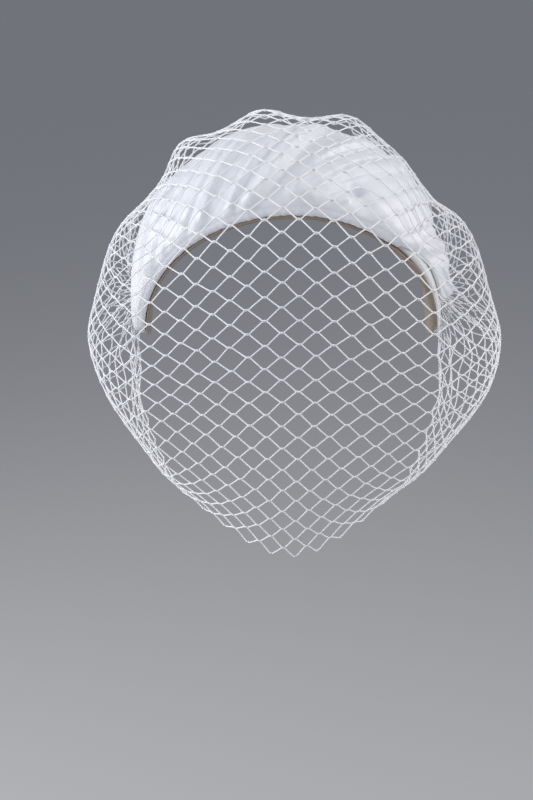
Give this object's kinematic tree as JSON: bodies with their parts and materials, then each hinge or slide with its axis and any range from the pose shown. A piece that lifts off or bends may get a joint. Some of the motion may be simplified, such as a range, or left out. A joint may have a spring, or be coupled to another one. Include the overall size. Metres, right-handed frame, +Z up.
{
  "type": "bridal headband with birdcage net veil",
  "caption": "Wide padded satin headband with a pleated, draped cover and a diamond net birdcage veil gathered behind each ear.",
  "frame": {"origin": "inside of the band at the crown, where it rests on the top of the head", "axes": "+X towards the wearer's left ear, +Y towards the back of the head, +Z up; the wearer looks along -Y"},
  "size_m": [0.2209, 0.132, 0.2145],
  "materials": {
    "lining_cloth": "matt taupe grosgrain",
    "base_satin": "ivory satin, soft sheen",
    "cover_satin": "white satin, soft sheen",
    "veil_netting": "white knotted net, matt"
  },
  "bodies": {
    "root": {"lining": "lining_cloth", "padded_base": "base_satin", "draped_cover": "cover_satin", "veil_net": "veil_netting"}
  },
  "joints": []
}
